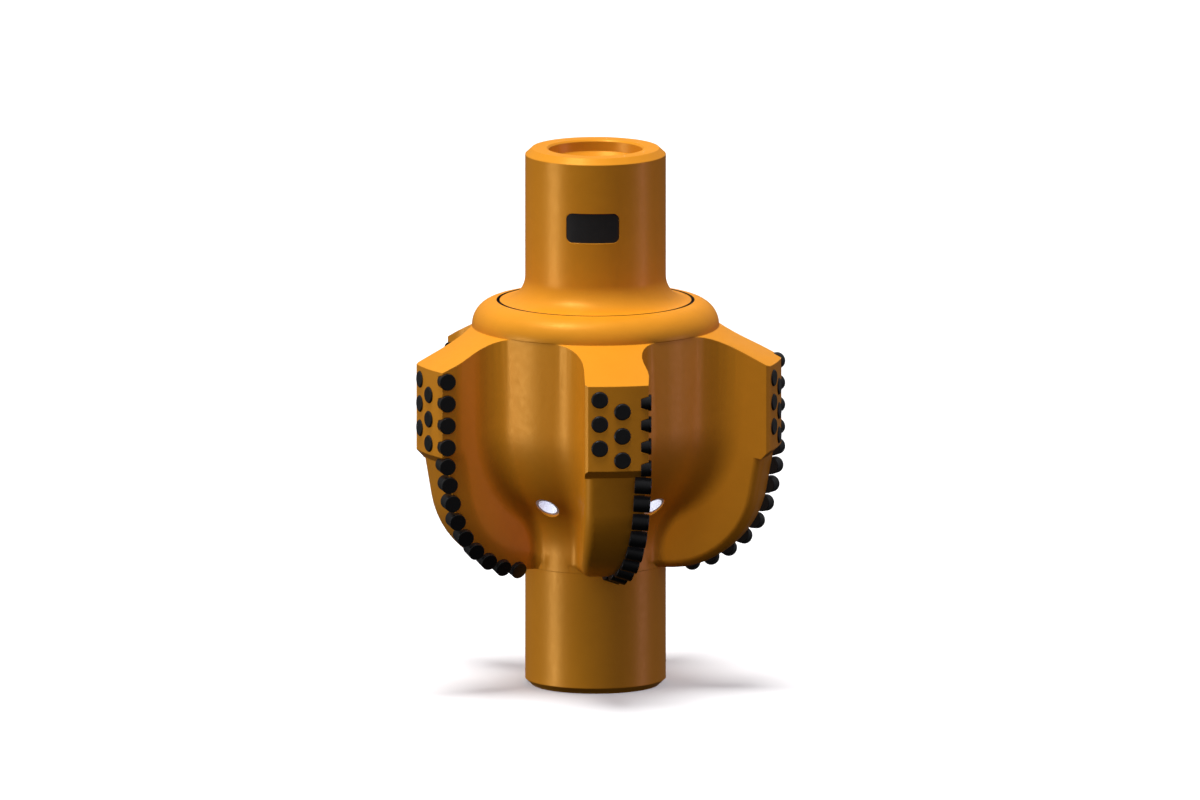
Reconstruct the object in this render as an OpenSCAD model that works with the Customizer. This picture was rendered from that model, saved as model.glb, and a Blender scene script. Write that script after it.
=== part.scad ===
// PDC reamer: a waisted steel body with five straight blades between two tubular shanks.
// Millimetres, +Z up, origin at the centre of the lower shank's end face.
// Blade 1's gauge pad faces -Y. Each blade is drawn in its own frame, with the leading wall
// in the XZ plane, the blade behind it at -Y and the junk slot ahead of it at +Y.

/* [Shanks] */
// Overall height, end face to end face
overall_h = 617; // [600:1:660]
// Outside diameter of both shanks
shank_d = 160; // [156:1:164]
// Length of the lower shank below the blades
lower_len = 139.5; // [130:0.5:170]
// Radial width of the bevel round each end face
end_bevel_w = 7.5; // [4:0.5:10]
// Height of that bevel
end_bevel_h = 7; // [4:0.5:10]
// Diameter of the fluid bore through the whole tool
bore_d = 70; // [60:1:74]

/* [Box connections] */
// Diameter of the plain counterbore at the mouth of each box
box_mouth_d = 106.8; // [104:0.2:110]
// Depth of the counterbore
box_mouth_l = 13; // [8:0.5:20]
// Width and depth of the chamfer at the mouth
box_chamfer = 2.1; // [1:0.1:4]
// Diameter of the threaded cone where it starts
thread_big_d = 92; // [86:0.5:96]
// Length of the threaded cone
thread_l = 92; // [60:1:96]
// Diameter lost for each millimetre of depth in the threaded cone
thread_taper = 0.1667; // [0.08:0.0001:0.17]

/* [Hub] */
// Largest radius of the hub above the blades
hub_r = 140.5; // [138:0.5:143]
// Radius of the round over the hub's shoulder
hub_round = 28; // [22:0.5:28]
// Height of the plain band under that round
hub_band = 1.2; // [0.8:0.1:4]
// Width of the open groove round the flange
groove_w = 3.5; // [2:0.25:5]
// Depth of that groove, which is the flange's thickness at its edge
groove_depth = 6; // [4:0.5:10]

/* [Upper sub] */
// Radius of the concave neck between flange and shank
neck_r = 28.5; // [24:0.5:28.5]
// Diameter of the spigot seated in the hub
spigot_d = 152; // [140:1:158]
// Length of the spigot
spigot_l = 50; // [30:1:60]
// Lead chamfer on the spigot
spigot_chamfer = 2.5; // [1:0.5:5]
// Free depth left under the spigot
spigot_end_gap = 0.5; // [0.3:0.1:0.9]

/* [Marking recess] */
// Width of the plain recess on the upper shank
mark_w = 60; // [40:1:70]
// Height of the recess
mark_h = 34; // [20:1:40]
// Corner radius of the recess
mark_corner = 7; // [3:1:10]
// Depth of the recess
mark_depth = 1.5; // [1:0.1:2]
// Distance from the recess's centre to the top end face
mark_drop = 80; // [60:1:100]
// Bearing of the recess, from -Y
mark_az = -9.6; // [-40:0.1:40]

/* [Blades] */
// Number of blades
blade_n = 5; // [4:1:6]
// Radius of the gauge pads
pad_r = 211.3; // [205:0.1:216]
// Length of the gauge pads
pad_l = 98; // [96:1:110]
// Height of the gauge pads' lower edge above the blades' lower edge
pad_rise = 140; // [136:1:144]
// Slope of the blades' top faces
top_slope = 26.4; // [20:0.1:30]
// Height of the gauge pads above the line of the straight edge under them
pad_step = 8.8; // [7:0.1:11]
// Width of the flat under the blades, next to the shank
nose_flat = 10; // [8:0.5:12]
// Lean of the straight edge between the curve and the pad
edge_taper = 10; // [8:0.5:12]
// Angle between the leading wall and the trailing wall
blade_wedge = 15.55; // [13:0.05:17]
// Distance of the trailing wall from the tool's axis
trail_offset = 22.7; // [20:0.1:26]
// Bearing of blade 1's leading wall, from -Y
lead_az = 11.39; // [0:0.01:20]
// Chamfer along the gauge pads' trailing edge
pad_chamfer = 3; // [1:0.25:4]
// Radius of the rounded trailing edge under the pads
trail_round = 12; // [8:0.5:14]

/* [Rake land] */
// Width of the band along the leading edge
land_w = 24; // [20:0.5:28]
// Width of its outer, steeper part
land_steep_w = 16.2; // [12:0.1:18]
// Depth where the steeper part starts
land_step = 1.25; // [0.8:0.05:2]
// Depth of the band at the blade's edge
land_depth = 7.3; // [5:0.1:8]
// Share of its size that the band keeps where it runs out at the shank
land_root_share = 0.45; // [0.3:0.05:1]

/* [Junk slots] */
// Distance of the floor's bend above the blades' lower edge
slot_bend_rise = 170.5; // [165:0.5:180]
// Radius of the floor's upper, outward curve
slot_r1 = 136.7; // [130:0.1:142]
// Radius of the floor's lower, inward curve
slot_r2 = 82.7; // [78:0.1:88]
// Step of the floor behind the hub's edge
slot_step = 0.5; // [0.4:0.1:1]
// Step of the floor above the lower shank
root_step = 0.4; // [0.3:0.1:0.8]
// Fillet at the leading wall: bottom, waist and top
lead_fillets = [13.3, 21.8, 34.9];
// Fillet at the trailing wall: bottom, waist and top
trail_fillets = [16.3, 24.4, 55.7];

/* [Cutters] */
// Diameter of every cutter
cutter_d = 19.05; // [18:0.05:20]
// Length of the cutters on the curved edge
cutter_l = 19; // [16:0.5:22]
// Smallest spacing of those cutters along the blade's edge
cutter_pitch_min = 22; // [21:0.1:24]
// Distance of the first one above the start of the curve
cutter_start = 43.4; // [40:0.1:45]
// Distance of the last one from the end of the curve
cutter_end = 15.3; // [12:0.1:20]
// Stand-out of the first cutter's centre from the blade's edge
cutter_lift_top = 6; // [4:0.1:6.5]
// Stand-out of the last cutter's centre
cutter_lift_nose = 1.5; // [1:0.1:3]
// Lean of the cutters' faces
back_rake = 20; // [15:0.5:25]
// Depth of the face centres behind the leading wall
cutter_set = 2.3; // [1:0.1:3]
// Length of the cutters on the gauge pad
gauge_cutter_l = 11.6; // [10:0.1:16]
// Number of cutters on each gauge pad
gauge_cutter_n = 4; // [3:1:4]
// Spacing of the gauge cutters
gauge_cutter_pitch = 25.25; // [23:0.25:26]
// Height of the lowest gauge cutter above the pad's lower edge
gauge_cutter_rise = 11.8; // [11:0.1:16]
// Depth of the gauge cutters' centres under the pad's surface
gauge_cutter_sink = 4.5; // [4:0.1:6]
// Rise of each blade's cutters over the common layout, as a share of their spacing
cutter_stagger = [-0.4, 0.2, -0.6, -0.2, 0];
// Edge bevel on each cutter
cutter_bevel = 0.6; // [0.3:0.1:1]
// Gap filled by braze round each cutter and insert
braze_gap = 0.1; // [0.05:0.05:0.2]

/* [Gauge inserts] */
// Diameter of the round inserts in the gauge pads
insert_d = 19.05; // [17:0.05:20]
// Length of the inserts
insert_l = 16; // [12:0.5:20]
// Stand-out of the inserts from the pad
insert_proud = 1.8; // [1:0.1:2.5]
// Inserts in each of the two columns
insert_rows = 3; // [2:1:3]
// Vertical spacing in a column
insert_pitch = 28; // [24:0.5:30]
// Height of the lowest insert above the pad's lower edge
insert_rise = 12.5; // [12:0.5:16]
// Bearings of the two columns behind the leading wall
insert_az = [10.2, 17.2];
// Rounded edge of the inserts
insert_bevel = 1.2; // [0.5:0.1:2]

/* [Fluid ports] */
// Bearing of each port ahead of its leading wall
port_az = 21.2; // [19:0.1:23]
// Diameter of the port's mouth
port_d = 29; // [27:0.5:31]
// Diameter of the passage behind the nozzle
passage_d = 18; // [14:0.5:20]
// Depth of the sleeve's outer end under the floor
sleeve_sink = 1.6; // [1.4:0.1:3]
// Length of the retaining sleeve
sleeve_l = 17; // [14:0.5:20]
// Bore of the retaining sleeve
sleeve_bore_d = 22.6; // [21:0.1:24]
// Diameter of the nozzle's body
nozzle_d = 24; // [22:0.5:25]
// Length of the nozzle
nozzle_l = 26; // [22:0.5:30]
// Thickness of the nozzle's head
nozzle_head = 6; // [4:0.5:8]
// Diameter of the nozzle's outlet
nozzle_outlet_d = 11; // [8:0.5:14]
// Thickness of the O-ring's cord
seal_d = 3; // [2.5:0.1:3.5]
// Working gap round sleeve, nozzle and spigot
fit_gap = 0.1; // [0.05:0.05:0.2]

/* [Hidden] */
$fn = 96;
eps = 0.5;
clear = 40;
shank_r = shank_d / 2;
bore_r = bore_d / 2;
pitch_az = 360 / blade_n;

// Blade outline, in the plane of radius and height
nose_z = lower_len;
pad_z = nose_z + pad_rise;
pad_top_z = pad_z + pad_l;
edge_end = [pad_r - pad_step, pad_z - pad_step];
// Radius of the blades' curved outer edge, tangent to the flat and to the straight edge
nose_r = (edge_end[0] - shank_r - nose_flat - (pad_rise - pad_step) * tan(edge_taper))
    * cos(edge_taper) / (1 - sin(edge_taper));
nose_c = [shank_r + nose_flat, nose_z + nose_r];
curve_end = nose_c + nose_r * [cos(edge_taper), -sin(edge_taper)];
edge_l = norm(edge_end - curve_end);
cutter_run = cutter_start + nose_r * (90 - edge_taper) * PI / 180 - cutter_end;
cutter_n = 1 + floor(cutter_run / cutter_pitch_min);
cutter_pitch = cutter_run / (cutter_n - 1);
// Bearing on the curved edge where the cuts along both edges run out, before the flat
edge_stop = 87;
slope_top_z = pad_top_z + (pad_r - hub_r) * tan(top_slope);
hub_top_z = slope_top_z + hub_band + hub_round;
rim_r = hub_r - hub_round;
flange_r = rim_r - groove_w;
seat_z = hub_top_z - groove_depth;

// Junk slot floor
floor_top_r = hub_r - slot_step;
floor_end_r = shank_r + root_step;
floor_bend_z = nose_z + slot_bend_rise;
floor_turn = acos(1 - (floor_top_r - floor_end_r) / (slot_r1 + slot_r2));
waist = [floor_top_r - slot_r1 * (1 - cos(floor_turn)), floor_bend_z - slot_r1 * sin(floor_turn)];
floor_end_z = waist[1] - slot_r2 * sin(floor_turn);
lead_centre_r = floor_end_r + lead_fillets[0];
trail_centre_r = floor_end_r + trail_fillets[0];
lead_centre_az = asin(lead_fillets[0] / lead_centre_r);
trail_centre_az = blade_wedge + asin((trail_fillets[0] + trail_offset) / trail_centre_r);
slot_cap_z = slope_top_z + hub_band / 2;
slot_far_r = 1.12 * pad_r / cos(pitch_az / 2 - blade_wedge / 2);

// Facets of the slot's skin
slot_n1 = 8;
slot_n2 = 8;
lead_n = 6;
floor_n = 4;
trail_n = 7;
round_n = 6;
curve_n = 12;
root_n = 5;
// Turn of the cuts round a fillet as a share of its own, so that they end on the floor
root_turn = 1.15;
// Angle at which the trailing round's skin crosses the faces it joins
round_skew = 8;

// Places something drawn in a blade's own frame
module at_blade(i) {
    rotate([0, 0, lead_az - 90 + (i - 1) * pitch_az]) children();
}

module at_every_blade() {
    for (i = [1:blade_n]) at_blade(i) children();
}

// Direction halfway round from unit vector a to unit vector b, by the share t
function swing(a, b, t) =
    let (w = acos(a * b)) (sin((1 - t) * w) * a + sin(t * w) * b) / sin(w);

function polar(r, az, z) = [r * cos(az), r * sin(az), z];

// Junk slot

// Floor stations from the hub down: radius, height and lean of the floor
function floor_stations() = concat(
    [[floor_top_r, slot_cap_z, 0]],
    [for (k = [0:slot_n1]) let (a = floor_turn * k / slot_n1)
        [floor_top_r - slot_r1 * (1 - cos(a)), floor_bend_z - slot_r1 * sin(a), a]],
    [for (k = [slot_n2 - 1:-1:0]) let (a = floor_turn * k / slot_n2)
        [floor_end_r + slot_r2 * (1 - cos(a)), floor_end_z + slot_r2 * sin(a), a]],
    [[floor_end_r, nose_z - clear / 4, 0]]
);

function fillet_at(r, radii) =
    lookup(r, [[floor_end_r, radii[0]], [waist[0], radii[1]], [floor_top_r, radii[2]]]);

// One cross line of the slot's skin, from the leading wall over the floor to the trailing wall
function slot_line(s) = let (
    wall_az = pitch_az - blade_wedge,
    lead_wall = [0, 1, 0],
    trail_wall = [sin(wall_az), -cos(wall_az), 0],
    f1 = fillet_at(s[0], lead_fillets),
    f2 = fillet_at(s[0], trail_fillets),
    r1 = s[0] + f1 * cos(s[2]),
    r2 = s[0] + f2 * cos(s[2]),
    az1 = asin(f1 / r1),
    az2 = wall_az - asin((f2 + trail_offset) / r2),
    c1 = polar(r1, az1, s[1] - f1 * sin(s[2])),
    c2 = polar(r2, az2, s[1] - f2 * sin(s[2])),
    down1 = -polar(cos(s[2]), az1, -sin(s[2])),
    down2 = -polar(cos(s[2]), az2, -sin(s[2]))
) concat(
    [for (k = [0:lead_n]) c1 + f1 * swing(-lead_wall, down1, k / lead_n)],
    [for (k = [1:floor_n - 1]) polar(s[0], az1 + (az2 - az1) * k / floor_n, s[1])],
    [for (k = [0:trail_n]) c2 + f2 * swing(down2, -trail_wall, k / trail_n)]
);

module junk_slot() {
    wall_az = pitch_az - blade_wedge;
    lines = [for (s = floor_stations()) slot_line(s)];
    rows = len(lines);
    cols = len(lines[0]);
    top_z = slot_cap_z;
    low_z = lines[rows - 1][0][2];
    mid_z = (pad_z + low_z) / 2;
    trail_dir = [cos(wall_az), sin(wall_az)];
    trail_out = trail_offset * [sin(wall_az), -cos(wall_az)];
    far_lead = [slot_far_r, 0];
    far_trail = slot_far_r * trail_dir + trail_out;
    far_mid = (far_lead + far_trail) / 2;
    far = [
        for (p = [far_lead, far_trail]) for (z = [top_z, mid_z, low_z]) [p[0], p[1], z],
        for (z = [top_z, low_z]) [far_mid[0], far_mid[1], z]
    ];
    base = rows * cols;
    lead_top = base;
    lead_mid = base + 1;
    lead_low = base + 2;
    trail_top = base + 3;
    trail_mid = base + 4;
    trail_low = base + 5;
    mid_top = base + 6;
    mid_low = base + 7;
    skin = [
        for (j = [0:rows - 2]) for (i = [0:cols - 2])
            for (t = [
                [j * cols + i + 1, j * cols + i, (j + 1) * cols + i],
                [j * cols + i + 1, (j + 1) * cols + i, (j + 1) * cols + i + 1]
            ]) t
    ];
    lead_face = concat([lead_mid, lead_low], [for (j = [rows - 1:-1:0]) j * cols], [lead_top]);
    trail_face = concat([trail_mid, trail_top], [for (j = [0:rows - 1]) (j + 1) * cols - 1], [trail_low]);
    outer_face = [lead_mid, lead_top, mid_top, trail_top, trail_mid, trail_low, mid_low, lead_low];
    top_face = concat([mid_top, lead_top], [for (i = [0:cols - 1]) i], [trail_top]);
    low_face = concat([mid_low, trail_low], [for (i = [cols - 1:-1:0]) (rows - 1) * cols + i], [lead_low]);
    polyhedron(
        points = concat([for (l = lines) each l], far),
        faces = concat(skin, [lead_face, trail_face, outer_face, top_face, low_face])
    );
}

// Blade edges

// Closed skin over sections that run downwards, each counter-clockwise seen from above.
// All of a section can be seen from its point number hub, where its cap's triangles meet.
module skin(lines, hub) {
    rows = len(lines);
    cols = len(lines[0]);
    sides = [
        for (j = [0:rows - 2]) for (i = [0:cols - 1]) let (n = (i + 1) % cols)
            for (t = [
                [j * cols + i, j * cols + n, (j + 1) * cols + n],
                [j * cols + i, (j + 1) * cols + n, (j + 1) * cols + i]
            ]) t
    ];
    top_face = [for (i = [0:cols - 1]) (hub + cols - i) % cols];
    low_face = [for (i = [0:cols - 1]) (rows - 1) * cols + (hub + i) % cols];
    polyhedron(points = [for (l = lines) each l], faces = concat(sides, [top_face, low_face]));
}

// Place on the blade's edge at distance s above the start of the curve: radius, height, lean
function edge_point(s) = s >= 0
    ? [curve_end[0] + s * sin(edge_taper), curve_end[1] + s * cos(edge_taper), edge_taper]
    : let (a = edge_taper - s / nose_r * 180 / PI)
        [nose_c[0] + nose_r * cos(a), nose_c[1] - nose_r * sin(a), a];

// Places down the curved edge, from its start to where the edge cuts run out
function curve_points() =
    let (l = nose_r * (edge_stop - edge_taper) * PI / 180)
    [for (k = [0:curve_n]) edge_point(-l * k / curve_n)];

// Section of the band cut along the leading edge: outwards, then along the wall's normal
function land_section() =
    let (
        lead_in = land_step / (land_w - land_steep_w),
        steep = (land_depth - land_step) / land_steep_w,
        over = land_w / 3
    ) [
        [-land_w - over, lead_in * over],
        [-land_steep_w, -land_step],
        [over, -land_depth - steep * over],
        [over, over],
        [-land_w - over, over]
    ];

// Keeps the cuts along the blades' edges out of the lower shank
module off_shank() {
    difference() {
        children();
        translate([0, 0, nose_z - clear]) cylinder(r = shank_r + root_step / 2, h = 3 * clear);
    }
}

// The band follows the blade's edge down the leading wall, then the fillet round to the shank
module rake_land() {
    corner = (45 + edge_taper) / 2;
    stations = concat(
        [[pad_r, slope_top_z + eps, 0, 1]],
        [[pad_r, pad_z, 22.5, 1 / cos(22.5)]],
        [[edge_end[0], edge_end[1], corner, 1 / cos(45 - corner)]],
        [for (p = curve_points()) [p[0], p[1], p[2], 1]]
    );
    centre = polar(lead_centre_r, lead_centre_az, nose_z);
    off_shank() skin(concat(
        [for (s = stations) [for (p = land_section())
            [s[0] + p[0] * s[3] * cos(s[2]), p[1], s[1] - p[0] * s[3] * sin(s[2])]]],
        [for (k = [0:root_n])
            let (
                n = swing([0, 1, 0], polar(1, lead_centre_az, 0), root_turn * k / root_n),
                share = 1 - (1 - land_root_share) * k / root_n
            )
            [for (p = share * land_section()) centre + (p[1] - lead_fillets[0]) * n - [0, 0, p[0]]]]
    ), 3);
}

// Prism that chamfers the trailing corner of the gauge pad
module pad_edge_chamfer() {
    dir = [cos(blade_wedge), -sin(blade_wedge)];
    out = [-sin(blade_wedge), -cos(blade_wedge)];
    corner = sqrt(pow(pad_r, 2) - pow(trail_offset, 2)) * dir + trail_offset * out;
    a = corner - pad_chamfer * out;
    b = corner - pad_chamfer * dir;
    far = 2 * pad_chamfer;
    translate([0, 0, pad_z - pad_step / 2]) linear_extrude(slope_top_z - pad_z)
        polygon([a - pad_chamfer * (out - dir), b + pad_chamfer * (out - dir),
            corner + far * out, corner + far * (out + dir), a + far * dir]);
}

// Rounds the trailing edge from the pad's lower edge down, and the fillet's edge to the shank
module trailing_round() {
    dir = [cos(blade_wedge), -sin(blade_wedge), 0];
    wall = [-sin(blade_wedge), -cos(blade_wedge), 0];
    depth = trail_round * cos(round_skew);
    side = trail_offset - depth;
    reach = 1.6 * trail_round;
    centre = polar(trail_centre_r, -trail_centre_az, nose_z);
    // Centre of the round, the way out of the edge's face and the way out of the wall
    stations = concat(
        [for (s = concat([edge_point(edge_l - 2 * eps)], curve_points())) let (
            rc = s[0] - depth * cos(s[2]),
            c = sqrt(rc * rc - side * side) * dir + side * wall + [0, 0, s[1] + depth * sin(s[2])]
        ) [c, polar(cos(s[2]), atan2(c[1], c[0]), -sin(s[2])), wall]],
        [for (k = [0:root_n]) let (n = swing(wall, polar(1, -trail_centre_az, 0), root_turn * k / root_n))
            [centre - (trail_fillets[0] + depth) * n + [0, 0, depth], [0, 0, -1], n]]
    );
    off_shank() skin([for (s = stations) concat(
        [s[0] + reach * s[2], s[0] + reach * (s[1] + s[2]), s[0] + reach * s[1]],
        [for (k = [0:round_n]) s[0] + trail_round * swing(s[1], s[2], k / round_n)]
    )], 1);
}

// Cutters

// Puts children with +Z along a cutter's axis and the origin at its face centre
module at_cutter(r, z, lean) {
    translate([r, -cutter_set, z]) rotate([0, lean, 0]) rotate([0, 0, -back_rake])
        rotate([-90, 0, 0]) children();
}

function stagger(i) = cutter_stagger[(i - 1) % len(cutter_stagger)];

// The cutters' circles overlap from blade to blade, and none stands out past the gauge cutters
module at_profile_cutters(i) {
    gauge_r = pad_r - gauge_cutter_sink;
    for (k = [0:cutter_n - 1]) {
        p = edge_point(cutter_start - (k - stagger(i)) * cutter_pitch);
        lift = cutter_lift_top + (cutter_lift_nose - cutter_lift_top) * k / (cutter_n - 1);
        at_cutter(min(p[0] + lift * cos(p[2]), gauge_r), p[1] - lift * sin(p[2]), p[2]) children();
    }
}

module at_gauge_cutters(i) {
    low_z = pad_z + gauge_cutter_rise + stagger(i) * gauge_cutter_pitch;
    for (k = [0:gauge_cutter_n - 1])
        at_cutter(pad_r - gauge_cutter_sink, low_z + k * gauge_cutter_pitch, 0) children();
}

// Carbide stud with its diamond table and a bevelled edge, face at the origin
module cutter(l) {
    r = cutter_d / 2;
    rotate_extrude() polygon([
        [0, -l], [r - cutter_bevel, -l], [r, -l + cutter_bevel],
        [r, -cutter_bevel], [r - cutter_bevel, 0], [0, 0]
    ]);
}

module cutter_pocket(l) {
    translate([0, 0, -l - braze_gap]) cylinder(d = cutter_d + 2 * braze_gap, h = l + clear / 2);
}

module profile_cutters(i) {
    color("#202224") at_blade(i) at_profile_cutters(i) cutter(cutter_l);
}

module gauge_cutters(i) {
    color("#202224") at_blade(i) at_gauge_cutters(i) cutter(gauge_cutter_l);
}

// Gauge inserts

module at_gauge_inserts() {
    for (c = [0, 1]) for (k = [0:insert_rows - 1])
        rotate([0, 0, -insert_az[c]])
            translate([pad_r, 0, pad_z + insert_rise + (k + c / 2) * insert_pitch])
                rotate([0, 90, 0]) children();
}

module gauge_inserts(i) {
    r = insert_d / 2;
    color("#202224") at_blade(i) at_gauge_inserts() translate([0, 0, insert_proud])
        rotate_extrude() difference() {
            translate([0, -insert_l]) square([r, insert_l]);
            translate([r, 0]) rotate(45) square(insert_bevel * sqrt(2), center = true);
        }
}

module insert_pocket() {
    translate([0, 0, insert_proud - insert_l - braze_gap])
        cylinder(d = insert_d + 2 * braze_gap, h = insert_l + eps);
}

// Fluid ports

// Puts children on the slot's floor at its waist, with +Z along the port's axis and out of the body
module at_port() {
    rotate([0, 0, port_az]) translate([waist[0], 0, waist[1]]) rotate([0, 90 + floor_turn, 0])
        children();
}

nozzle_out = -sleeve_sink - sleeve_l;
nozzle_in = nozzle_out - nozzle_l;
seal_z = nozzle_out - nozzle_head - (nozzle_l - nozzle_head) / 2;
passage_l = (waist[0] - bore_r / 2) / cos(floor_turn);

module port_hole() {
    translate([0, 0, nozzle_out - nozzle_head - fit_gap]) cylinder(d = port_d, h = clear - nozzle_out);
    translate([0, 0, nozzle_in - fit_gap]) cylinder(d = nozzle_d + 2 * fit_gap, h = nozzle_l);
    translate([0, 0, seal_z - seal_d * 0.65]) cylinder(d = nozzle_d + 2 * seal_d + 2 * fit_gap, h = seal_d * 1.3);
    translate([0, 0, -passage_l]) cylinder(d = passage_d, h = passage_l + nozzle_in + eps);
}

module nozzle_sleeve(i) {
    color("#d9d9ee") at_blade(i) at_port() translate([0, 0, nozzle_out + fit_gap]) difference() {
        cylinder(d = port_d - 2 * fit_gap, h = sleeve_l - fit_gap);
        translate([0, 0, -eps]) cylinder(d = sleeve_bore_d, h = sleeve_l + 2 * eps);
    }
}

module nozzle(i) {
    color("#5a5c60") at_blade(i) at_port() translate([0, 0, nozzle_out]) rotate_extrude() polygon([
        [nozzle_outlet_d / 2, 0],
        [port_d / 2 - fit_gap, 0],
        [port_d / 2 - fit_gap, -nozzle_head],
        [nozzle_d / 2, -nozzle_head],
        [nozzle_d / 2, -nozzle_l],
        [passage_d / 2, -nozzle_l],
        [nozzle_outlet_d / 2, -nozzle_head]
    ]);
}

module nozzle_seal(i) {
    color("#1a1a1a") at_blade(i) at_port() translate([0, 0, seal_z])
        rotate_extrude() translate([nozzle_d / 2 + seal_d / 2, 0]) circle(d = seal_d * 0.98);
}

// Shanks and bores

// Bore of a box connection, mouth at the origin and depth along +Z
module box_bore() {
    r0 = box_mouth_d / 2;
    r1 = thread_big_d / 2;
    shoulder_z = box_mouth_l + r0 - r1;
    r2 = r1 - thread_l * thread_taper / 2;
    rotate_extrude() polygon([
        [0, -eps],
        [r0 + box_chamfer + eps, -eps],
        [r0, box_chamfer],
        [r0, box_mouth_l],
        [r1, shoulder_z],
        [r2, shoulder_z + thread_l],
        [bore_r, shoulder_z + thread_l + r2 - bore_r],
        [0, shoulder_z + thread_l + r2 - bore_r]
    ]);
}

module body_form() {
    rotate_extrude() union() {
        polygon([
            [0, 0],
            [shank_r - end_bevel_w, 0],
            [shank_r, end_bevel_h],
            [shank_r, nose_z],
            [nose_c[0], nose_z],
            [nose_c[0], nose_c[1]],
            curve_end,
            edge_end,
            [pad_r, pad_z],
            [pad_r, pad_top_z],
            [hub_r, slope_top_z],
            [hub_r, slope_top_z + hub_band],
            [rim_r, slope_top_z + hub_band],
            [rim_r, hub_top_z],
            [0, hub_top_z]
        ]);
        intersection() {
            translate(nose_c) circle(nose_r);
            translate([nose_c[0], nose_z - eps]) square([nose_r + eps, nose_r * 2]);
            translate(nose_c) rotate(-90) square([nose_r + eps, nose_r * cos(edge_taper)]);
        }
        intersection() {
            translate([rim_r, slope_top_z + hub_band]) circle(hub_round);
            translate([rim_r, slope_top_z + hub_band]) square(hub_round + eps);
        }
    }
}

// Socket for the upper sub, and the open groove round its flange
module sub_socket() {
    translate([0, 0, seat_z - spigot_l - spigot_end_gap])
        cylinder(d = spigot_d + 2 * fit_gap, h = spigot_l + spigot_end_gap + groove_depth + eps);
    translate([0, 0, seat_z - fit_gap]) cylinder(r = rim_r, h = groove_depth + eps);
}

module blade_body() {
    color("#d98a25") difference() {
        difference() {
            difference() {
                body_form();
                at_every_blade() junk_slot();
            }
            at_every_blade() rake_land();
            at_every_blade() trailing_round();
            at_every_blade() pad_edge_chamfer();
        }
        for (i = [1:blade_n]) at_blade(i) {
            at_profile_cutters(i) cutter_pocket(cutter_l);
            at_gauge_cutters(i) cutter_pocket(gauge_cutter_l);
        }
        at_every_blade() at_gauge_inserts() insert_pocket();
        at_every_blade() at_port() port_hole();
        translate([0, 0, -eps]) cylinder(r = bore_r, h = hub_top_z + 2 * eps);
        box_bore();
        sub_socket();
    }
}

// Shallow recess in the shank's skin, with a plain round-cornered outline
module marking_recess() {
    rotate([0, 0, mark_az - 90]) translate([0, 0, overall_h - mark_drop]) intersection() {
        rotate([90, 0, 90]) linear_extrude(shank_r + eps) {
            square([mark_w - 2 * mark_corner, mark_h], center = true);
            square([mark_w, mark_h - 2 * mark_corner], center = true);
            for (x = [-1, 1]) for (y = [-1, 1])
                translate([x * (mark_w / 2 - mark_corner), y * (mark_h / 2 - mark_corner)])
                    circle(mark_corner);
        }
        difference() {
            cylinder(r = shank_r + eps, h = 2 * mark_h, center = true);
            cylinder(r = shank_r - mark_depth, h = 3 * mark_h, center = true);
        }
    }
}

module upper_sub() {
    color("#d98a25") difference() {
        rotate_extrude() difference() {
            polygon([
                [bore_r, seat_z - spigot_l],
                [spigot_d / 2 - spigot_chamfer, seat_z - spigot_l],
                [spigot_d / 2, seat_z - spigot_l + spigot_chamfer],
                [spigot_d / 2, seat_z],
                [flange_r, seat_z],
                [flange_r, hub_top_z],
                [shank_r + neck_r, hub_top_z],
                [shank_r + neck_r, hub_top_z + neck_r],
                [shank_r, hub_top_z + neck_r],
                [shank_r, overall_h - end_bevel_h],
                [shank_r - end_bevel_w, overall_h],
                [bore_r, overall_h]
            ]);
            translate([shank_r + neck_r, hub_top_z + neck_r]) circle(neck_r);
        }
        translate([0, 0, overall_h]) rotate([180, 0, 0]) box_bore();
        marking_recess();
    }
}

blade_body();
upper_sub();
for (i = [1:blade_n]) {
    profile_cutters(i);
    gauge_cutters(i);
    gauge_inserts(i);
    nozzle_sleeve(i);
    nozzle(i);
    nozzle_seal(i);
}
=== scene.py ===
"""PDC reamer: finishes, box threads, floor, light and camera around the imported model."""
import math

import bpy
import numpy as np
from mathutils import Matrix, Vector


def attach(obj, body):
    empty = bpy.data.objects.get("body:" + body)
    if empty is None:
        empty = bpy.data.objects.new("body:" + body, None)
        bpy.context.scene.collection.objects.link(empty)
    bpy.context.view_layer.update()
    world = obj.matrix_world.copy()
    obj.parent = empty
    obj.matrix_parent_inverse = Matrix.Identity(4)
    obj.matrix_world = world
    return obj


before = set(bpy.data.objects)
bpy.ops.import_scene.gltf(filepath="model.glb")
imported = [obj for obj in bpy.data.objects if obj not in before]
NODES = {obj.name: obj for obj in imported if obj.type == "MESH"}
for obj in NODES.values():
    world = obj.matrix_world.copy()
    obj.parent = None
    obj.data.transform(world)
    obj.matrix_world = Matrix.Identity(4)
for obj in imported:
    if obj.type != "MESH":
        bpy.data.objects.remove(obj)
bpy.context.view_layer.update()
MM = 0.001

# Camera of the photograph, which has no perspective: bearing and height in degrees,
# then in metres its distance, the width of its frame and the point at the frame's centre
CAMERA_AZ = -7.16
CAMERA_EL = 9.76
CAMERA_DISTANCE = 4.0
FRAME_W = 1.3631
AIM_RIGHT = 0.00509
AIM_UP = 0.3261

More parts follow.
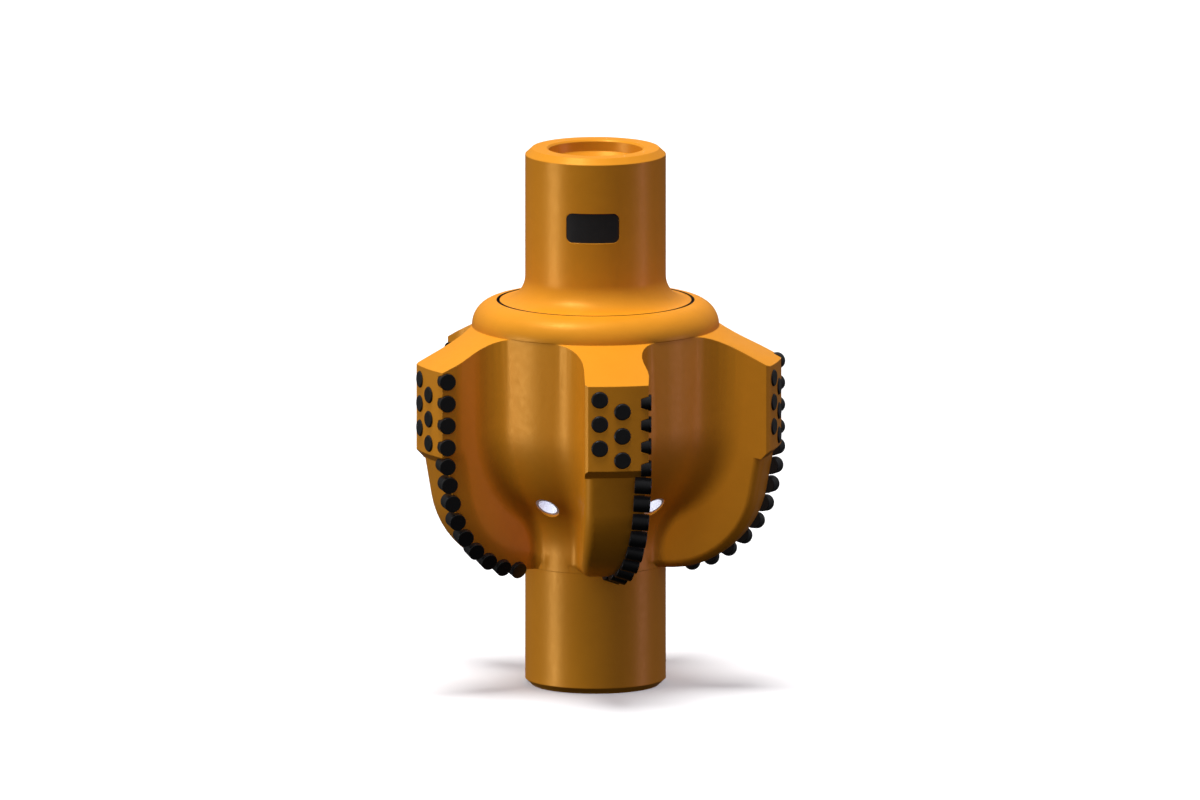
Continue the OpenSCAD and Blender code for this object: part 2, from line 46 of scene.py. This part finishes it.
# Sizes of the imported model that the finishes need, in millimetres and degrees
TOP = 617.0
BLADES = 5
BLADE_STEP = 360 / BLADES
LEAD_AZ = 11.39
PAD_R = 211.3
PAD_Z = 279.5
NOSE_C = (90.0, 246.0)
NOSE_R = 106.5
EDGE_TAPER = 10.0
POCKET_R = 9.625
CUTTER_SET = 2.3
CUTTER_MIDDLE = 9.0
BACK_RAKE = 20.0
TABLE_T = 2.6
STAGGER = (-0.4, 0.2, -0.6, -0.2, 0.0)
PROFILE_N = 9
PROFILE_START = 43.4
PROFILE_PITCH = 22.1
PROFILE_LIFT = (6.0, 1.5)
GAUGE_N = 4
GAUGE_R = PAD_R - 4.5
GAUGE_RISE = 11.8
GAUGE_PITCH = 25.25
INSERT_ROWS = 3
INSERT_RISE = 12.5
INSERT_PITCH = 28.0
INSERT_AZ = (10.2, 17.2)
BOX_LEDGE = 13.0
BOX_CONE = 20.4
THREAD_R = 46.0
THREAD_L = 92.0
THREAD_TAPER = 0.1667
THREAD_PITCH = 6.35
THREAD_HEIGHT = 2.9
THREAD_SEGMENTS = 64
THREAD_SECTION = (
    (2.75, -0.35), (0.75, 0.96), (0.25, 1.0), (-0.25, 1.0), (-0.75, 0.96), (-2.75, -0.35),
)
RECESS_R = 78.5
RECESS_DEPTH = 3.0
RECESS_Z = 537.0
RECESS_REACH = 20.0
RIM_R = 112.5
FLANGE_R = 109.0
FLANGE_SEAT_Z = 435.8

# Smoothing: the weld's distance in metres, and the sharpest angles in degrees that stay smooth
WELD = 0.000004
SMOOTH_CAD = 32.0
SMOOTH_THREAD = 30.0

# Floor and light: half the floor's width and the lamps' distance, in metres
FLOOR_HALF = 30.0
SUN_DISTANCE = 3.0


# Materials

class Finish:
    """A material's node tree, with short calls for the nodes that every finish uses."""

    def __init__(self, name):
        self.material = bpy.data.materials.new(name)
        self.material.use_nodes = True
        tree = self.material.node_tree
        tree.nodes.clear()
        self.nodes = tree.nodes
        self.links = tree.links
        self.out = self.nodes.new("ShaderNodeOutputMaterial")
        self.shader = self.nodes.new("ShaderNodeBsdfPrincipled")
        self.links.new(self.shader.outputs[0], self.out.inputs[0])
        self.coords = self.nodes.new("ShaderNodeTexCoord").outputs["Object"]

    def set(self, **values):
        for key, value in values.items():
            self.shader.inputs[key.replace("_", " ")].default_value = value
        return self

    def link(self, source, key):
        self.links.new(source, self.shader.inputs[key])

    def noise(self, scale, detail=2.0, rough=0.5, stretch=(1, 1, 1)):
        node = self.nodes.new("ShaderNodeTexNoise")
        node.inputs["Scale"].default_value = scale
        node.inputs["Detail"].default_value = detail
        node.inputs["Roughness"].default_value = rough
        mapping = self.nodes.new("ShaderNodeMapping")
        mapping.inputs["Scale"].default_value = stretch
        self.links.new(self.coords, mapping.inputs["Vector"])
        self.links.new(mapping.outputs[0], node.inputs["Vector"])
        return node.outputs["Fac"]

    def span(self, source, low, high, start=0.0, end=1.0):
        """The source's stretch from start to end, spread over low to high and held there."""
        node = self.nodes.new("ShaderNodeMapRange")
        for key, value in zip(("From Min", "From Max", "To Min", "To Max"), (start, end, low, high)):
            node.inputs[key].default_value = value
        self.links.new(source, node.inputs["Value"])
        return node.outputs[0]

    def mix(self, share, a, b):
        """Colour between a and b, each a colour or an output of another node."""
        node = self.nodes.new("ShaderNodeMix")
        node.data_type = "RGBA"
        self.links.new(share, node.inputs["Factor"])
        for socket, value in ((node.inputs[6], a), (node.inputs[7], b)):
            if isinstance(value, (tuple, list)):
                socket.default_value = (*value, 1.0)
            else:
                self.links.new(value, socket)
        return node.outputs[2]

    def blend(self, share, a, b):
        """Number between a and b, each a number or an output of another node."""
        node = self.nodes.new("ShaderNodeMix")
        self.links.new(share, node.inputs["Factor"])
        for socket, value in ((node.inputs[2], a), (node.inputs[3], b)):
            if isinstance(value, (int, float)):
                socket.default_value = value
            else:
                self.links.new(value, socket)
        return node.outputs[0]

    def math(self, kind, a, b=0.0):
        node = self.nodes.new("ShaderNodeMath")
        node.operation = kind
        for socket, value in zip(node.inputs, (a, b)):
            if isinstance(value, (int, float)):
                socket.default_value = value
            else:
                self.links.new(value, socket)
        return node.outputs[0]

    def attribute(self, name):
        node = self.nodes.new("ShaderNodeAttribute")
        node.attribute_name = name
        return node.outputs["Fac"]

    def relief(self, layers, edge=0.0):
        """Bump from (height, depth in metres) layers, over edges rounded by the radius edge."""
        normal = None
        if edge:
            rounded = self.nodes.new("ShaderNodeBevel")
            rounded.samples = 6
            rounded.inputs["Radius"].default_value = edge
            normal = rounded.outputs[0]
        for height, depth in layers:
            bump = self.nodes.new("ShaderNodeBump")
            bump.inputs["Distance"].default_value = depth
            self.links.new(height, bump.inputs["Height"])
            if normal:
                self.links.new(normal, bump.inputs["Normal"])
            normal = bump.outputs[0]
        self.link(normal, "Normal")
        return self


def enamel():
    """Satin orange enamel over machined steel, with a faint orange peel."""
    f = Finish("body_enamel").set(Metallic=0.0, IOR=2.2, Specular_IOR_Level=0.7)
    f.set(Specular_Tint=(1.0, 0.55, 0.15, 1.0))
    drift = f.noise(7.0, 3.0)
    mottle = f.noise(55.0, 4.0)
    base = f.mix(f.span(drift, 0.0, 1.0, 0.35, 0.65), (0.81, 0.303, 0.014), (0.85, 0.322, 0.016))
    f.link(f.mix(f.span(mottle, 0.0, 0.35, 0.4, 0.7), base, (0.77, 0.283, 0.012)), "Base Color")
    f.link(f.span(f.noise(140.0, 3.0), 0.36, 0.42, 0.3, 0.7), "Roughness")
    return f.relief([(f.noise(620.0, 2.0), 0.00005), (f.noise(90.0, 2.0), 0.00012)], 0.0011).material


def bare_steel():
    """Turned steel with fine marks round the tool's axis."""
    f = Finish("turned_steel").set(Metallic=1.0)
    marks = f.noise(900.0, 2.0, 0.6, (0.02, 0.02, 1.0))
    f.link(f.mix(f.noise(60.0, 3.0), (0.30, 0.30, 0.31), (0.42, 0.41, 0.40)), "Base Color")
    f.link(f.span(marks, 0.28, 0.5, 0.3, 0.7), "Roughness")
    return f.relief([(marks, 0.00004)]).material


def bright_sleeve():
    """Bright plated steel of the sleeves that line the fluid ports."""
    f = Finish("plated_sleeve").set(Metallic=0.0, Specular_IOR_Level=0.9)
    f.link(f.mix(f.noise(200.0, 2.0), (0.84, 0.86, 0.97), (0.92, 0.94, 1.0)), "Base Color")
    f.link(f.span(f.noise(500.0, 2.0), 0.3, 0.42, 0.3, 0.7), "Roughness")
    return f.relief([(f.noise(1500.0, 1.0), 0.00001)]).material


def cutter_finish():
    """Near-black diamond table on a ground carbide stud, told apart by the depth behind the face."""
    f = Finish("diamond_cutter")
    depth = f.attribute("depth")
    stud = f.math("GREATER_THAN", depth, TABLE_T)
    seam = f.math("COMPARE", depth, TABLE_T)
    seam.node.inputs[2].default_value = 0.12
    table = f.mix(f.noise(700.0, 3.0), (0.006, 0.006, 0.007), (0.011, 0.011, 0.012))
    ground = f.mix(f.noise(400.0, 3.0), (0.018, 0.018, 0.020), (0.030, 0.030, 0.032))
    f.link(f.mix(seam, f.mix(stud, table, ground), (0.004, 0.004, 0.004)), "Base Color")
    polish = f.span(f.noise(300.0), 0.16, 0.28)
    grind = f.span(f.noise(800.0), 0.34, 0.5)
    f.link(f.blend(stud, polish, grind), "Roughness")
    f.link(f.blend(stud, 0.0, 0.6), "Metallic")
    return f.relief([(f.noise(1500.0, 2.0), 0.000015)], 0.0003).material


def carbide():
    """Dark sintered carbide of the gauge inserts and nozzles."""
    f = Finish("sintered_carbide").set(Metallic=0.35)
    f.link(f.mix(f.noise(350.0, 3.0), (0.012, 0.012, 0.013), (0.024, 0.024, 0.026)), "Base Color")
    f.link(f.span(f.noise(600.0, 3.0), 0.3, 0.48, 0.3, 0.7), "Roughness")
    return f.relief([(f.noise(1200.0, 2.0), 0.00002)], 0.0004).material


def recess_paint_and_groove_shade():
    """Matt black paint of the plain marking recess, and painted shade in the groove round the flange."""
    f = Finish("recess_paint_and_groove_shade").set(Metallic=0.0)
    f.link(f.mix(f.noise(120.0, 3.0), (0.012, 0.012, 0.013), (0.020, 0.020, 0.022)), "Base Color")
    f.link(f.span(f.noise(300.0, 2.0), 0.42, 0.56, 0.3, 0.7), "Roughness")
    return f.relief([(f.noise(900.0, 2.0), 0.00003)]).material


def pocket_braze():
    """Dull bronze-grey of the brazed pocket walls."""
    f = Finish("pocket_braze").set(Metallic=0.9)
    f.link(f.mix(f.noise(300.0, 3.0), (0.20, 0.15, 0.09), (0.28, 0.23, 0.15)), "Base Color")
    f.link(f.span(f.noise(500.0, 2.0), 0.4, 0.6, 0.3, 0.7), "Roughness")
    return f.relief([(f.noise(700.0, 2.0), 0.00005)]).material


def seal_rubber():
    """Black rubber of the seals behind the nozzles."""
    f = Finish("seal_rubber").set(Metallic=0.0)
    f.link(f.mix(f.noise(300.0, 3.0), (0.010, 0.010, 0.010), (0.018, 0.018, 0.018)), "Base Color")
    f.link(f.span(f.noise(500.0, 2.0), 0.5, 0.65, 0.3, 0.7), "Roughness")
    return f.relief([(f.noise(1500.0, 1.0), 0.00002)]).material


def floor_finish():
    """Pale matt floor."""
    f = Finish("pale_floor").set(Metallic=0.0)
    f.link(f.mix(f.noise(3.0, 2.0), (0.86, 0.86, 0.86), (0.88, 0.88, 0.88)), "Base Color")
    f.link(f.span(f.noise(5.0), 0.75, 0.8), "Roughness")
    return f.material


ENAMEL = enamel()
STEEL = bare_steel()
SLEEVE = bright_sleeve()
CUTTER = cutter_finish()
CARBIDE = carbide()
RECESS_PAINT_AND_GROOVE_SHADE = recess_paint_and_groove_shade()
BRAZE = pocket_braze()
RUBBER = seal_rubber()


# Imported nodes: smooth shading and finishes

def blade_matrix(i):
    """Blade i's frame, with +X out through its leading edge and +Y the way it cuts."""
    return Matrix.Rotation(math.radians(LEAD_AZ - 90 + BLADE_STEP * (i - 1)), 4, "Z")


def edge_point(s):
    """Radius, height and lean of the blade's edge at distance s above the start of its curve."""
    taper = math.radians(EDGE_TAPER)
    if s >= 0:
        r = NOSE_C[0] + NOSE_R * math.cos(taper) + s * math.sin(taper)
        return r, NOSE_C[1] - NOSE_R * math.sin(taper) + s * math.cos(taper), EDGE_TAPER
    a = taper - s / NOSE_R
    return NOSE_C[0] + NOSE_R * math.cos(a), NOSE_C[1] - NOSE_R * math.sin(a), math.degrees(a)


def cutter_place(r, z, lean):
    """A cutter's frame in its blade's frame, in metres, with +Z out of its face."""
    return (
        Matrix.Translation(Vector((r, -CUTTER_SET, z)) * MM)
        @ Matrix.Rotation(math.radians(lean), 4, "Y")
        @ Matrix.Rotation(math.radians(-BACK_RAKE), 4, "Z")
        @ Matrix.Rotation(math.radians(-90), 4, "X")
    )


def profile_places(i):
    places = []
    for k in range(PROFILE_N):
        r, z, lean = edge_point(PROFILE_START - (k - STAGGER[i - 1]) * PROFILE_PITCH)
        lift = PROFILE_LIFT[0] + (PROFILE_LIFT[1] - PROFILE_LIFT[0]) * k / (PROFILE_N - 1)
        a = math.radians(lean)
        places.append(cutter_place(min(r + lift * math.cos(a), GAUGE_R), z - lift * math.sin(a), lean))
    return places


def gauge_places(i):
    low = PAD_Z + GAUGE_RISE + STAGGER[i - 1] * GAUGE_PITCH
    return [cutter_place(GAUGE_R, low + GAUGE_PITCH * k, 0) for k in range(GAUGE_N)]


def insert_places():
    places = []
    for c, az in enumerate(INSERT_AZ):
        for k in range(INSERT_ROWS):
            z = PAD_Z + INSERT_RISE + (k + c / 2) * INSERT_PITCH
            places.append(
                Matrix.Rotation(math.radians(-az), 4, "Z")
                @ Matrix.Translation(Vector((PAD_R, 0, z)) * MM)
                @ Matrix.Rotation(math.radians(90), 4, "Y")
            )
    return places


def keep_sharp(obj, angle):
    """Splits the edges above the angle, so that they stay sharp on a smooth mesh."""
    split = obj.modifiers.new("sharp_edges", "EDGE_SPLIT")
    split.split_angle = math.radians(angle)
    split.use_edge_sharp = False


def smooth(obj):
    """Smooth shading for a CAD node, whose split corners a modifier welds first."""
    mesh = obj.data
    if mesh.has_custom_normals:
        with bpy.context.temp_override(object=obj, active_object=obj, mesh=mesh):
            bpy.ops.mesh.customdata_custom_splitnormals_clear()
    mesh.polygons.foreach_set("use_smooth", [True] * len(mesh.polygons))
    weld = obj.modifiers.new("weld", "WELD")
    weld.merge_threshold = WELD
    keep_sharp(obj, SMOOTH_CAD)


def dress(name, *materials):
    """Gives a CAD node its materials, with the first one on all its faces."""
    mesh = NODES[name].data
    mesh.materials.clear()
    for material in materials:
        mesh.materials.append(material)
    mesh.polygons.foreach_set("material_index", [0] * len(mesh.polygons))
    smooth(NODES[name])
    return mesh


def depth_attribute(name, places):
    """Depth of each point behind the face of the cutter that it belongs to, in millimetres."""
    mesh = NODES[name].data
    inverses = [m.inverted() for m in places]
    layer = mesh.attributes.new("depth", "FLOAT", "POINT")
    for v in mesh.vertices:
        local = min(
            (m @ v.co for m in inverses),
            key=lambda p: abs(p.z + CUTTER_MIDDLE * MM) + math.hypot(p.x, p.y),
        )
        layer.data[v.index].value = -local.z / MM


def mark(mesh, material, test):
    """Gives a material to the faces whose radius, height and normal pass the test."""
    index = mesh.materials.find(material.name)
    for face in mesh.polygons:
        c = face.center / MM
        if test(math.hypot(c.x, c.y), c.z, face.normal):
            face.material_index = index


def read(collection, key, width=1, kind=float):
    """One property of a mesh's vertices or triangles, a row for each."""
    values = np.empty(len(collection) * width, dtype=kind)
    collection.foreach_get(key, values)
    return values.reshape(-1, width)


def mark_pockets(mesh, slack=0.06, mouth=3.0, depth=22.0, floor_depth=5.0):
    """Brazed metal for the walls and floors of the cutters' and inserts' pockets."""
    points = read(mesh.vertices, "co", 3)
    corners = read(mesh.polygons, "vertices", 3, np.int32)
    normals = read(mesh.polygons, "normal", 3)
    index = read(mesh.polygons, "material_index", 1, np.int32)[:, 0]
    braze = mesh.materials.find(BRAZE.name)
    for i in range(1, BLADES + 1):
        for place in profile_places(i) + gauge_places(i) + insert_places():
            frame_of_pocket = blade_matrix(i) @ place
            axis = np.array(frame_of_pocket.col[2][:3])
            local = points - np.array(frame_of_pocket.translation)
            along = local @ axis
            off = np.linalg.norm(local - along[:, None] * axis, axis=1) / MM
            inside = (off < POCKET_R + slack) & (along < mouth * MM) & (along > -depth * MM)
            wall = inside & (off > POCKET_R - slack)
            tilt = np.abs(normals @ axis)
            on_wall = wall[corners].all(axis=1) & (tilt < 0.3)
            deep = along[corners].max(axis=1) < -floor_depth * MM
            on_floor = inside[corners].all(axis=1) & (tilt > 0.9) & deep
            index[on_wall | on_floor] = braze
    mesh.polygons.foreach_set("material_index", index)


body = dress("blade_body", ENAMEL, STEEL, BRAZE, RECESS_PAINT_AND_GROOVE_SHADE)
mark(body, STEEL, lambda r, z, n: r < THREAD_R + 1 and z > BOX_LEDGE + 2)
mark_pockets(body)
# Painted shade: the hub's faces in the groove round the flange are made black to stand for the shadow in
# the gap.
mark(body, RECESS_PAINT_AND_GROOVE_SHADE, lambda r, z, n: r < RIM_R + 0.1 and z > FLANGE_SEAT_Z - 0.2)
sub = dress("upper_sub", ENAMEL, STEEL, RECESS_PAINT_AND_GROOVE_SHADE)
mark(sub, STEEL, lambda r, z, n: r < THREAD_R + 1 and z < TOP - BOX_LEDGE - 2)
mark(sub, RECESS_PAINT_AND_GROOVE_SHADE, lambda r, z, n: -RECESS_DEPTH < r - RECESS_R < 0.3 and abs(z - RECESS_Z) < RECESS_REACH)
# Painted shade: the flange's faces in the groove are made black to stand for the shadow in the gap.
mark(sub, RECESS_PAINT_AND_GROOVE_SHADE, lambda r, z, n: abs(r - FLANGE_R) < 0.2 and z > FLANGE_SEAT_Z and abs(n.z) < 0.5)
for i in range(1, BLADES + 1):
    dress(f"profile_cutters_{i}", CUTTER)
    depth_attribute(f"profile_cutters_{i}", [blade_matrix(i) @ m for m in profile_places(i)])
    dress(f"gauge_cutters_{i}", CUTTER)
    depth_attribute(f"gauge_cutters_{i}", [blade_matrix(i) @ m for m in gauge_places(i)])
    dress(f"gauge_inserts_{i}", CARBIDE)
    dress(f"nozzle_sleeve_{i}", SLEEVE)
    dress(f"nozzle_{i}", CARBIDE)
    dress(f"nozzle_seal_{i}", RUBBER)


# Tapered threads in the two boxes

def thread(name, top):
    """Helical ridge on a box's cone, from the mouth at height 0 or TOP inwards, faded at both ends."""
    steps = int((THREAD_L - 2 * THREAD_PITCH) / THREAD_PITCH * THREAD_SEGMENTS)
    ramp = THREAD_SEGMENTS / 2
    points = []
    for k in range(steps + 1):
        a = 2 * math.pi * k / THREAD_SEGMENTS * (-1 if top else 1)
        fade = min(1.0, k / ramp, (steps - k) / ramp)
        for along, out in THREAD_SECTION:
            down = THREAD_PITCH * (1 + k / THREAD_SEGMENTS) + along
            wall = THREAD_R - down * THREAD_TAPER / 2
            r = wall - (THREAD_HEIGHT * fade * out if out > 0 else out)
            z = BOX_CONE + down
            points.append((r * math.cos(a) * MM, r * math.sin(a) * MM, (TOP - z if top else z) * MM))
    n = len(THREAD_SECTION)
    faces = []
    for k in range(steps):
        for j in range(n):
            a, b = k * n + j, k * n + (j + 1) % n
            faces.append((a, a + n, b + n, b))
    faces.append(tuple(range(n)))
    faces.append(tuple(reversed(range(steps * n, steps * n + n))))
    mesh = bpy.data.meshes.new(name)
    mesh.from_pydata(points, [], faces)
    mesh.polygons.foreach_set("use_smooth", [True] * len(mesh.polygons))
    mesh.materials.append(STEEL)
    obj = bpy.data.objects.new(name, mesh)
    bpy.context.scene.collection.objects.link(obj)
    keep_sharp(obj, SMOOTH_THREAD)
    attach(obj, "root")


thread("box_thread_upper", True)
thread("box_thread_lower", False)


# Floor, light and camera

def make_floor():
    """Pale floor that takes shadows but throws no light back onto the object."""
    mesh = bpy.data.meshes.new("floor")
    corners = [(x * FLOOR_HALF, y * FLOOR_HALF, 0) for x, y in ((-1, -1), (1, -1), (1, 1), (-1, 1))]
    mesh.from_pydata(corners, [], [(0, 1, 2, 3)])
    mesh.materials.append(floor_finish())
    floor = bpy.data.objects.new("floor", mesh)
    bpy.context.scene.collection.objects.link(floor)
    floor.visible_diffuse = False
    floor.visible_glossy = False


def towards(azimuth, elevation):
    """Direction of a bearing, in degrees round from the front, and of a height above the horizon."""
    a = math.radians(azimuth)
    e = math.radians(elevation)
    return Vector((math.sin(a) * math.cos(e), -math.cos(a) * math.cos(e), math.sin(e)))


def sun(
    name, azimuth, elevation, strength, spread,
    colour=(1, 1, 1), shadow=True, diffuse=True, gloss=True,
):
    """Distant soft light from a bearing measured from the camera, positive to its right."""
    light = bpy.data.lights.new(name, "SUN")
    light.energy = strength
    light.angle = math.radians(spread)
    light.color = colour
    light.use_shadow = shadow
    obj = bpy.data.objects.new(name, light)
    obj.visible_diffuse = diffuse
    obj.visible_glossy = gloss
    way = towards(CAMERA_AZ + azimuth, elevation)
    obj.rotation_mode = "QUATERNION"
    obj.rotation_quaternion = way.to_track_quat("Z", "Y")
    obj.location = way * SUN_DISTANCE
    bpy.context.scene.collection.objects.link(obj)
    return obj


def light_ports():
    """Light for the ports' sleeves alone, which the slots would leave in the dark."""
    sleeves = bpy.data.collections.new("sleeves")
    for i in range(1, BLADES + 1):
        sleeves.objects.link(NODES[f"nozzle_sleeve_{i}"])
    for k in range(BLADES):
        lamp = sun(f"port_light_{k + 1}", BLADE_STEP * k, 40, 0.55, 20, (0.9, 0.93, 1.0), shadow=False)
        lamp.light_linking.receiver_collection = sleeves


def make_world(low, high):
    """Even sky that grows from low underfoot to high overhead."""
    world = bpy.data.worlds.new("studio")
    bpy.context.scene.world = world
    world.use_nodes = True
    tree = world.node_tree
    split = tree.nodes.new("ShaderNodeSeparateXYZ")
    span = tree.nodes.new("ShaderNodeMapRange")
    span.interpolation_type = "SMOOTHSTEP"
    for key, value in zip(("From Min", "From Max", "To Min", "To Max"), (-0.7, 0.8, low, high)):
        span.inputs[key].default_value = value
    tree.links.new(tree.nodes.new("ShaderNodeTexCoord").outputs["Generated"], split.inputs[0])
    tree.links.new(split.outputs["Z"], span.inputs["Value"])
    tree.links.new(span.outputs[0], tree.nodes["Background"].inputs["Strength"])
    tree.nodes["Background"].inputs["Color"].default_value = (1, 1, 1, 1)


def make_camera():
    """Camera at the photograph's angle, with the photograph's frame."""
    back = towards(CAMERA_AZ, CAMERA_EL)
    right = towards(CAMERA_AZ + 90, 0)
    data = bpy.data.cameras.new("camera")
    data.type = "ORTHO"
    data.ortho_scale = FRAME_W
    data.clip_start = 0.05
    data.clip_end = 60
    camera = bpy.data.objects.new("camera", data)
    camera.location = Vector((0, 0, AIM_UP)) + right * AIM_RIGHT + back * CAMERA_DISTANCE
    camera.rotation_mode = "QUATERNION"
    camera.rotation_quaternion = (-back).to_track_quat("-Z", "Y")
    bpy.context.scene.collection.objects.link(camera)
    bpy.context.scene.camera = camera


make_floor()
make_world(0.01, 0.27)
sun("overhead", -40, 86, 3.2, 25, gloss=False)
sun("hub_glint", -70, 69, 0.55, 14, diffuse=False)
sun("left_key", -72, 34, 1.42, 12, shadow=False, gloss=False)
sun("left_glint", -72, -9, 0.34, 14, shadow=False, diffuse=False)
sun("right_fill", 83, 34, 0.4, 12, (0.8, 0.6, 1.0), shadow=False, gloss=False)
sun("right_glint", 83, -9, 0.12, 12, (0.6, 0.42, 1.0), shadow=False, diffuse=False)
sun("back_key", 172, 14, 1.0, 12, shadow=False, gloss=False)
light_ports()
make_camera()
bpy.context.scene.view_settings.view_transform = "Standard"
